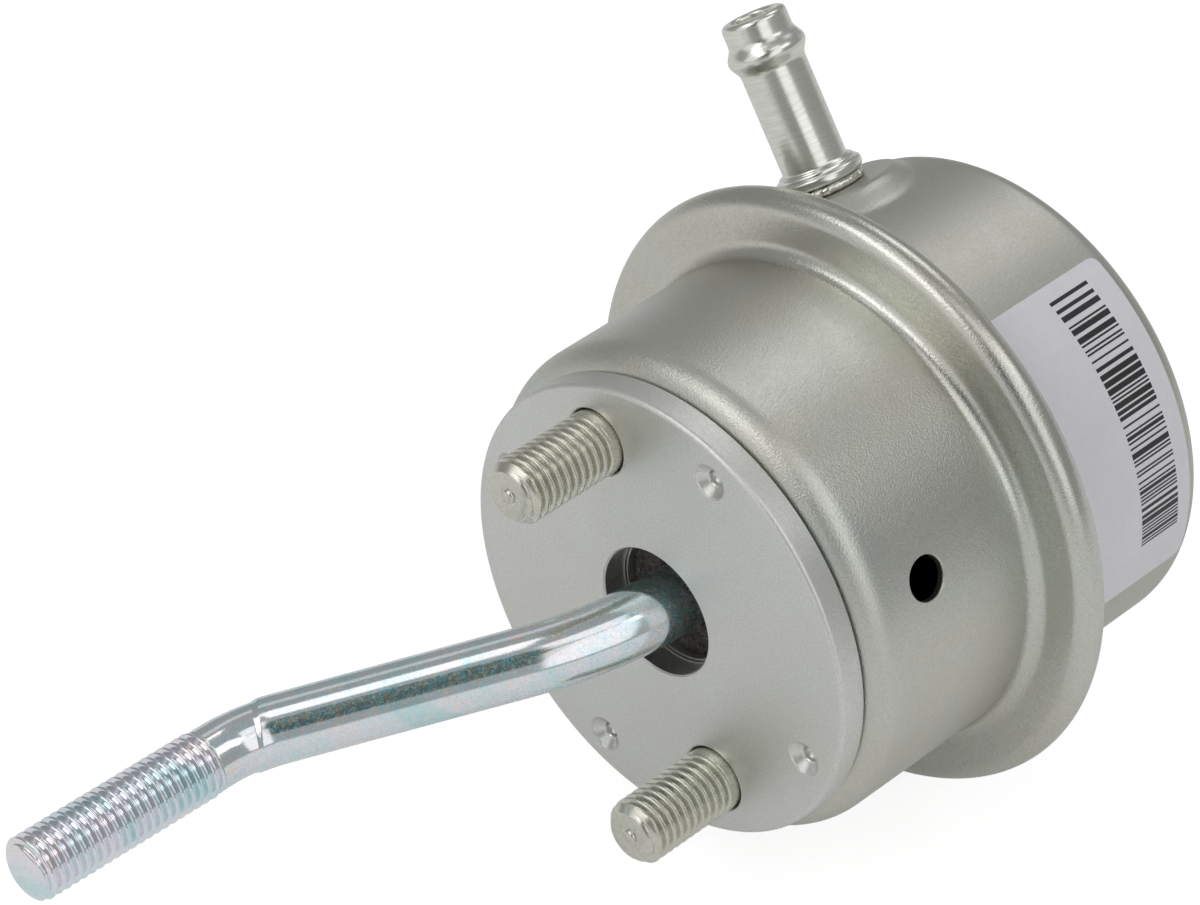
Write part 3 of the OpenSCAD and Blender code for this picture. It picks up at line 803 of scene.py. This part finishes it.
threadShape = {
    "depth": 0.60,  # share of the pitch
    "crest": 0.16,  # shares of half a pitch
    "flank": 0.70,
    "rounded": 0.45,  # share of the flank's form that is round
}

studSizes = {
    "major": 3.15,
    "pitch": 0.907,
    "reach": 10.8,
    "threadFrom": 0.3,  # inside the plate's hole
    "runOut": 0.75,  # plain length in front of the plate
    "threadFade": 0.5,
    "neck": 2.87,
    "shoulderAt": 2.8,
    "shoulder": 3.35,
    "headAt": 3.6,
    "head": 4.5,
    "headEdge": 0.3,
    "headThick": 1.6,
    "tipFace": 2.38,  # radius inside the chamfer
    "tipEdge": (0.02, 0.05),  # the flat end's step, along and in
    "nub": 0.7,
    "nubHeight": 0.25,
    "nubGroove": [(-0.02, 0.2), (-0.01, 0.14), (0.06, 0.05), (0.04, -0.04)],  # along, wider than the nub
    "nubTop": [(0.8, 0.1), (1, 0.25)],  # share of the height, narrower than the nub
    "nubCrown": 1.06,
    "segments": 96,
    "rowsPerTurn": 18,
}


def mountingPlate():
    s = plateSizes
    thick, hole, edge = s["thick"], s["hole"], s["holeEdge"]
    outline = [[hole + edge, 0], *arc(s["radius"] - s["edge"], s["edge"], s["edge"], -90, 0, 16)]
    outline += [[s["radius"], thick], [hole, thick], [hole, edge]]
    mesh = turnedMesh("mountingPlate", outline, 256)
    r, through = s["studHole"], thick + 1
    studHole = [[0, -1], *[[r + wider, depth] for wider, depth in s["studHoleEdge"]]]
    studHole += [[r, through], [0, through]]
    bowl, deep, pit = s["dimpleRadius"], s["dimpleDeep"], s["pitRadius"]
    dimple = [[0, -1], *[[bowl + wider, depth] for wider, depth in s["dimpleEdge"]]]
    dimple += [[pit + wider, deep * share] for wider, share in s["pitEdge"]]
    steps = 16
    for k in range(steps):
        a = math.pi / 2 * k / steps
        dimple.append([pit * math.cos(a), deep * (s["pitFrom"] + (1 - s["pitFrom"]) * math.sin(a))])
    dimple += [[0, deep]]
    cutters = []
    for clock in studPlaces["clocks"]:
        place = Matrix.Translation(onCircle(studPlaces["circle"], clock) * mm)
        cutters.append(turnedMesh("studHole", studHole, 96, place))
        for turn in (-s["dimpleClock"], s["dimpleClock"]):
            place = Matrix.Translation(onCircle(s["dimpleCircle"], clock + turn) * mm)
            cutters.append(turnedMesh("dimple", dimple, 64, place))
    return carved(mesh, cutters)


def threadRadius(along, angle, major, pitch):
    # rounded 60 degree thread, right-handed about +X
    t = threadShape
    phase = (along / pitch - angle / (2 * math.pi)) % 1.0
    fall = abs(phase - 0.5) * 2  # 0 on the crest, 1 in the root
    flank = clamped((fall - t["crest"]) / t["flank"])
    return major - t["depth"] * pitch * (flank * (1 - t["rounded"]) + t["rounded"] * eased(flank))


def stud(name, clock):
    s = studSizes
    back = s["headAt"] + s["headThick"]
    # rows are [x, radius], with None where the thread gives the radius
    rows = [[back, 0], [back, s["head"] - s["headEdge"]], [back - s["headEdge"], s["head"]],
            [s["headAt"], s["head"]], [s["headAt"], s["shoulder"]], [s["shoulderAt"], s["shoulder"]],
            [s["shoulderAt"], s["neck"]], [s["threadFrom"], s["neck"]]]
    length = s["reach"] + s["threadFrom"]
    count = int(length / s["pitch"] * s["rowsPerTurn"])
    rows += [[s["threadFrom"] - length * (k + 1) / count, None] for k in range(count)]
    tip, nub, high = rows[-1][0], s["nub"], s["nubHeight"]
    rows += [[tip - s["tipEdge"][0], s["tipFace"] - s["tipEdge"][1]]]
    rows += [[tip + along, nub + wider] for along, wider in s["nubGroove"]]
    rows += [[tip - high * share, nub - narrower] for share, narrower in s["nubTop"]]
    rows += [[tip - high * s["nubCrown"], 0]]

    def radiusAt(x, angle):
        cut = s["major"] - threadRadius(x, angle, s["major"], s["pitch"])
        start = clamped((-s["runOut"] - x) / s["threadFade"])
        chamfer = s["tipFace"] + (x + s["reach"])
        return min(s["major"] - cut * start, chamfer)

    centre = onCircle(studPlaces["circle"], clock)
    points, rings, angles = [], [], anglesOf(s["segments"])
    for x, fixed in rows:
        ring = []
        for a in angles if fixed != 0 else [0]:
            radius = radiusAt(x, a) if fixed is None else fixed
            ring.append((Vector((x, radius * math.cos(a), radius * math.sin(a))) + centre) * mm)
        addRing(points, rings, ring, s["segments"])
    return closedMesh(name, points, ringFaces(rings, s["segments"]))


plate = finishPiece("mountingPlate", mountingPlate(), "housing", plateZinc, 12)
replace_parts(plate, "mounting_plate")
upperStud = stud("studUpper", studPlaces["clocks"][0])
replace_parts(finishPiece("studUpper", upperStud, "housing", studZinc, 60), "stud_upper")
lowerStud = stud("studLower", studPlaces["clocks"][1])
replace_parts(finishPiece("studLower", lowerStud, "housing", studZinc, 60), "stud_lower")
print("plate and studs ready")

# Hose nipple and its weld


def hoseNipple():
    n = nippleSizes
    tube, bore, base, tip = n["tube"], n["bore"], n["base"], n["tip"]
    rim, edge, collar = n["baseRadius"], n["baseRound"], n["collarRound"]
    outline = [[bore, base - n["spigotLong"]], [n["spigot"], base - n["spigotLong"]], [n["spigot"], base]]
    outline += arc(rim - edge, base + n["baseFrom"], edge, -90, 0, 5)
    outline += arc(rim - edge, base + n["baseTo"], edge, 0, 70, 5)
    outline += [[rim - n["collarFoot"][0], base + n["collarFoot"][1]]]
    outline += arc(rim - n["collarIn"], base + n["collarAt"], collar, 20, 90, 4)
    outline += arc(tube + n["fillet"], base + n["baseHeight"] + n["filletUp"], n["fillet"], 270, 180, 5)
    outline += [[tube, n["beadFrom"] - n["beadLead"]]]
    steps = 24
    for i in range(steps + 1):
        rise = (n["beadRadius"] - tube) * (1 - math.cos(2 * math.pi * i / steps)) / 2
        outline.append([tube + rise, n["beadFrom"] + n["beadLength"] * i / steps])
    outline += arc(tube - n["tipRound"], tip - n["tipRound"], n["tipRound"], 0, 90, 8)
    outline += arc(bore + n["boreRound"], tip - n["boreRound"], n["boreRound"], 90, 180, 5)
    return turnedMesh("hoseNipple", outline, 128, nippleAxis())


weldFolds = {
    # scale round the ring, scale across it, height mm
    "broad": (6, 0.6, 0.16),
    "fine": (17, 1.5, 0.10),
    "plain": 0.2,  # mm outside the spigot that stay round
}


def nippleWeld():
    n = nippleSizes
    low, high, inner = n["seatTop"], n["base"], n["spigot"] + n["play"]
    half = (high - low) / 2
    outline = [[inner, low], *arc(n["weldRadius"] - half, low + half, half, -90, 90, 10)]
    outline += [[inner, high]]

    def fold(point, a, around, across, height):
        return height * noise.noise(Vector((math.cos(a) * around, math.sin(a) * around, point[0] * across)))

    def crinkle(points):
        # flash squeezed out of the weld: fine radial folds
        for p in points:
            r = math.hypot(p[1], p[2])
            if r < n["spigot"] + weldFolds["plain"]:
                continue
            a = math.atan2(p[2], p[1])
            p[1:] *= 1 + (fold(p, a, *weldFolds["broad"]) + fold(p, a, *weldFolds["fine"])) / r
        return points

    return turnedMesh("nippleWeld", outline, 256, nippleAxis(), crinkle)


nipple = finishPiece("hoseNipple", hoseNipple(), "housing", nippleZinc, 45)
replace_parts(nipple, "hose_nipple")
weld = finishPiece("nippleWeld", nippleWeld(), "housing", weldZinc, 80)
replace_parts(weld, "nipple_weld")
print("nipple ready")

# Rod

rodSizes = {
    "radius": 3.175,
    "bendClock": 109.7,
    "bendStart": 3.564,  # X where the first bend starts
    "bendOne": 38.0,  # degrees
    "bendOneRadius": 24.0,
    "oblique": 22.722,
    "bendTwo": 36.0,
    "bendTwoRadius": 9.8,
    "neck": 2.99,
    "neckAt": 12.0,  # degrees into the second bend
    "stepLong": 0.6,
    "stepSlant": 0.9,  # the step to the neck isn't square to the rod
    "slantTurn": 200,  # degrees
    "straightNeck": 1.716,
    "threadMajor": 3.15,
    "threadLength": 20.2,
    "threadLead": 0.3,  # each side of the thread's start
    "pitch": 0.907,
    "tipHigh": 0.9,
    "tipFlat": 1.7,
    "tipStraight": 0.45,  # share of the tip's fall that is straight, the rest is round
    "tipRows": [(0, 0.05), (0.04, -0.25)],  # along, wider than the flat
    "tipEnd": 0.05,
    "shoulderAt": 40.9,
    "rivet": 2.4,
    "rivetHead": 4.0,
    "rivetHeadAt": 44.6,
    "rivetFace": 2.9,
    "rivetEdge": 0.53,
    "rivetEnd": 46.2,
    "segments": 96,
}

rodRows = {
    # where the rows of points along the rod lie, mm
    "shank": 37.3,  # length of the straight shank
    "shankRows": 20,
    "bentFrom": 0.3,  # past the first bend's start
    "bent": 0.35,  # distance between rows
    "neck": 0.06,
    "neckBefore": 1.6,  # the close rows start this far before the step
    "perTurn": 18,  # rows in a turn of the thread
    "tipGap": 0.01,
}


def rodPath(s):
    # centre and direction of the rod in its own plane, s mm from the first bend's start
    r = rodSizes
    one, two = math.radians(r["bendOne"]), math.radians(r["bendTwo"])
    if s <= 0:
        return (r["bendStart"] - s, 0.0), 0.0
    first = one * r["bendOneRadius"]
    a = min(s, first) / r["bendOneRadius"]
    x = r["bendStart"] - r["bendOneRadius"] * math.sin(a)
    y = r["bendOneRadius"] * (1 - math.cos(a))
    if s <= first:
        return (x, y), a
    straight = min(s - first, r["oblique"])
    x, y = x - straight * math.cos(one), y + straight * math.sin(one)
    rest = s - first - r["oblique"]
    if rest <= 0:
        return (x, y), one
    b = min(rest, two * r["bendTwoRadius"]) / r["bendTwoRadius"]
    x -= r["bendTwoRadius"] * (math.sin(one) - math.sin(one - b))
    y += r["bendTwoRadius"] * (math.cos(one - b) - math.cos(one))
    rest -= two * r["bendTwoRadius"]
    if rest > 0:
        x, y = x - rest * math.cos(one - two), y + rest * math.sin(one - two)
    return (x, y), one - b


def actuatorRod():
    r, step = rodSizes, rodRows
    bendTwoFrom = math.radians(r["bendOne"]) * r["bendOneRadius"] + r["oblique"]
    stepAt = bendTwoFrom + math.radians(r["neckAt"]) * r["bendTwoRadius"]
    threadFrom = bendTwoFrom + math.radians(r["bendTwo"]) * r["bendTwoRadius"] + r["straightNeck"]
    tip = threadFrom + r["threadLength"]
    end, head, shoulder = (r["bendStart"] - r[key] for key in ("rivetEnd", "rivetHeadAt", "shoulderAt"))
    # rows are (distance along the rod, radius), with None where radiusAt gives the radius
    rows = [(end, 0.0), (end, r["rivetFace"]), (end + r["rivetEdge"], r["rivetHead"]),
            (head, r["rivetHead"]), (head, r["rivet"]), (shoulder, r["rivet"]), (shoulder, r["radius"])]
    count = step["shankRows"]
    rows += [(shoulder + step["shank"] * k / count, None) for k in range(1, count + 1)]
    neckFrom, leadFrom = stepAt - step["neckBefore"], threadFrom - r["threadLead"]
    rows += [(s, None) for s in np.arange(step["bentFrom"], neckFrom, step["bent"])]
    rows += [(s, None) for s in np.arange(neckFrom, leadFrom, step["neck"])]
    rows += [(s, None) for s in np.arange(leadFrom, tip - step["tipGap"], r["pitch"] / step["perTurn"])]
    rows += [(tip + along, r["tipFlat"] + wider) for along, wider in r["tipRows"]]
    rows += [(tip + r["tipEnd"], 0.0)]

    def radiusAt(s, angle):
        # angle 0 points across the bend plane, 90 degrees to the outside of bend one
        slant = r["stepSlant"] * math.cos(angle - math.radians(r["slantTurn"]))
        drop = clamped((s - (stepAt + slant)) / r["stepLong"])
        body = r["radius"] - (r["radius"] - r["neck"]) * drop
        if s < leadFrom:
            return body
        cut = threadRadius(s, angle, r["threadMajor"], r["pitch"])
        radius = body + (cut - body) * clamped((s - leadFrom) / (2 * r["threadLead"]))
        over = s - (tip - r["tipHigh"])
        if over > 0:
            t = over / r["tipHigh"]
            fall = r["tipStraight"] * t + (1 - r["tipStraight"]) * t * t * t
            radius = min(radius, r["threadMajor"] - (r["threadMajor"] - r["tipFlat"]) * fall)
        return radius

    forward = Vector((1, 0, 0))
    side = clockDirection(r["bendClock"])
    third = forward.cross(side)
    points, rings, angles = [], [], anglesOf(r["segments"])
    for s, fixed in rows:
        (x, y), a = rodPath(s)
        centre = forward * x + side * y
        across = side * math.cos(a) + forward * math.sin(a)
        ring = []
        for t in angles if fixed != 0 else [0]:
            radius = radiusAt(s, t) if fixed is None else fixed
            ring.append((centre + (third * math.cos(t) + across * math.sin(t)) * radius) * mm)
        addRing(points, rings, ring, r["segments"])
    return closedMesh("actuatorRod", points, ringFaces(rings, r["segments"]))


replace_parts(finishPiece("actuatorRod", actuatorRod(), "rod", rodZinc, 50), "actuator_rod")
print("rod ready")

# Spring: round wire, one closed turn at each end

springSizes = {
    "wire": 1.2,  # radius
    "coil": 9.6,  # radius to the wire's middle
    "turns": 8,
    "from": 4.33,
    "to": 42.07,
    "closePitch": 2.55,
    "endIn": 0.72,  # the ends are ground this far into the wire
    "shortest": 0.682,  # share of its length with the rod fully out
    "sides": 20,
    "perTurn": 60,
}


def returnSpring():
    s = springSizes
    sides, perTurn, turns = s["sides"], s["perTurn"], s["turns"]
    length = s["to"] - s["from"] - 2 * s["endIn"]
    openPitch = (length - 2 * s["closePitch"]) / (turns - 2)
    steps = turns * perTurn
    points = []
    for i in range(steps + 1):
        turn = i / perTurn
        along = min(turn, 1) * s["closePitch"]
        along += max(0, min(turn, turns - 1) - 1) * openPitch
        along += max(0, turn - turns + 1) * s["closePitch"]
        a = 2 * math.pi * turn
        for b in anglesOf(sides):
            radius = s["coil"] + s["wire"] * math.cos(b)
            x = s["from"] + s["endIn"] + along + s["wire"] * math.sin(b)
            x = min(max(x, s["from"]), s["to"])
            points.append((x * mm, radius * math.cos(a) * mm, radius * math.sin(a) * mm))
    faces = []
    for i in range(steps):
        for j in range(sides):
            k = (j + 1) % sides
            faces.append((i * sides + j, i * sides + k, (i + 1) * sides + k, (i + 1) * sides + j))
    faces += [tuple(range(sides)), tuple(range(steps * sides, (steps + 1) * sides))]
    return closedMesh("returnSpring", points, faces)


spring = finishPiece("returnSpring", returnSpring(), "housing", springSteel, 60)
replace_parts(spring, "return_spring")
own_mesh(spring)

# Rolling diaphragm: held by the rim, carried by the piston, its roll halfway between

diaphragmSizes = {
    "beadAt": 24.3,
    "rollAt": 21.1,
    "rollMiddle": 21.3,  # radius
    "headAt": 43.0,
}


def rollingDiaphragm():
    s = diaphragmSizes
    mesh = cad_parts["diaphragm"].data.copy()
    mesh.materials.clear()
    mesh.materials.append(rubberFilm)
    piece = bpy.data.objects.new("rollingDiaphragm", mesh)
    scene.collection.objects.link(piece)
    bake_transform(piece, "housing", "rod", (s["beadAt"] * mm, 0, 0), (s["rollAt"] * mm, 0, 0))
    weights = []
    for v in mesh.vertices:
        x, r = v.co.x / mm, math.hypot(v.co.y, v.co.z) / mm
        if r > s["rollMiddle"]:
            weights.append(0.5 * clamped((s["beadAt"] - x) / (s["beadAt"] - s["rollAt"])))
        else:
            weights.append(0.5 + 0.5 * clamped((x - s["rollAt"]) / (s["headAt"] - s["rollAt"])))
    mesh.attributes["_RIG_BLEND"].data.foreach_set("value", weights)
    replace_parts(piece, "diaphragm")


rollingDiaphragm()

# Paper label on the rear can, with plain bars and nothing to read

labelSizes = {
    "from": 27.55,
    "to": 45.1,
    "clockFrom": -27.5,
    "clockTo": -103.7,
    "corner": 0.9,
    "thick": 0.1,
    "lift": 0.004,  # off the can's wall
    "barsFrom": 37.4,
    "barsLong": 5.1,
    "barsAskew": 1.0,  # the last bar sits this much further back
    "barClockFrom": -31.2,
    "barClockTo": -92.4,
    "narrowBar": 0.185,
    "barWidths": (1, 1, 1, 2, 3),  # in narrow bars, drawn by lot
    "seed": 11,
    "ink": 0.012,
    "inkSunk": 0.01,
    "rowStep": 1.2,  # mm
    "columnStep": 0.8,  # degrees
}


def curvedPatch(along, clocks, radii, corner, points, faces):
    # thin sheet bent round the can, with rounded corners
    (x0, x1), (c0, c1), (inner, outer) = along, clocks, radii
    turn = [0.0]
    if corner:
        turn = [corner * (1 - math.cos(math.radians(a))) for a in range(0, 91, 15)]
    straight = x1 - x0 - 2 * turn[-1]
    plain = max(1, int(straight / labelSizes["rowStep"]))
    rows = [x0 + t for t in turn]
    rows += [x0 + turn[-1] + straight * k / plain for k in range(1, plain)]
    rows += [x1 - t for t in reversed(turn)]
    columns = max(1, int(abs(c1 - c0) / labelSizes["columnStep"]))
    first, span = len(points), columns + 1
    for radius in (outer, inner):
        for x in rows:
            edge = min(x - x0, x1 - x)
            inset = corner - math.sqrt(max(0, corner ** 2 - (corner - edge) ** 2)) if edge < corner else 0
            inset = math.degrees(inset / outer) * (1 if c1 > c0 else -1)
            for j in range(span):
                clock = c0 + inset + (c1 - c0 - 2 * inset) * j / columns
                points.append((Vector((x, 0, 0)) + clockDirection(clock) * radius) * mm)
    under = len(rows) * span
    last = len(rows) - 1

    def at(i, j):
        return first + i * span + j

    for i in range(last):
        for j in range(columns):
            quad = (at(i, j), at(i, j + 1), at(i + 1, j + 1), at(i + 1, j))
            faces.append(quad)
            faces.append(tuple(v + under for v in reversed(quad)))
    for i in range(last):
        for j in (0, columns):
            faces.append((at(i, j), at(i + 1, j), at(i + 1, j) + under, at(i, j) + under))
    for j in range(columns):
        for i in (0, last):
            faces.append((at(i, j), at(i, j + 1), at(i, j + 1) + under, at(i, j) + under))


def paperLabel():
    s = labelSizes
    points, faces = [], []
    radii = (canSizes["wall"] + s["lift"], canSizes["wall"] + s["thick"])
    curvedPatch((s["from"], s["to"]), (s["clockFrom"], s["clockTo"]), radii, s["corner"], points, faces)
    return closedMesh("paperLabel", points, faces)


def labelBars():
    s = labelSizes
    dice = random.Random(s["seed"])
    points, faces = [], []
    top = canSizes["wall"] + s["thick"]
    degrees = math.degrees(s["narrowBar"] / top)
    clock = s["barClockFrom"]
    while clock > s["barClockTo"]:
        end = max(clock - dice.choice(s["barWidths"]) * degrees, s["barClockTo"])
        share = (clock - s["barClockFrom"]) / (s["barClockTo"] - s["barClockFrom"])
        x = s["barsFrom"] + s["barsAskew"] * share
        radii = (top - s["inkSunk"], top + s["ink"])
        curvedPatch((x, x + s["barsLong"]), (clock, end), radii, 0, points, faces)
        clock = end - dice.choice(s["barWidths"]) * degrees
    return closedMesh("labelBars", points, faces)


finishPiece("paperLabel", paperLabel(), "housing", labelPaper)
finishPiece("labelBars", labelBars(), "housing", labelInk)
print("spring, diaphragm and label ready")

# The other inner pieces keep their CAD form

innerFinish = {
    "spring_seat": innerSteel,
    "piston": innerSteel,
    "rod_washer": innerSteel,
    "diaphragm_retainer": innerSteel,
    "guide_bush": bushCarbon,
    "wiper_washer": wiperFibre,
}
for nodeName, material in innerFinish.items():
    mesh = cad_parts[nodeName].data
    mesh.materials.clear()
    mesh.materials.append(material)

scene.view_settings.view_transform = "Standard"
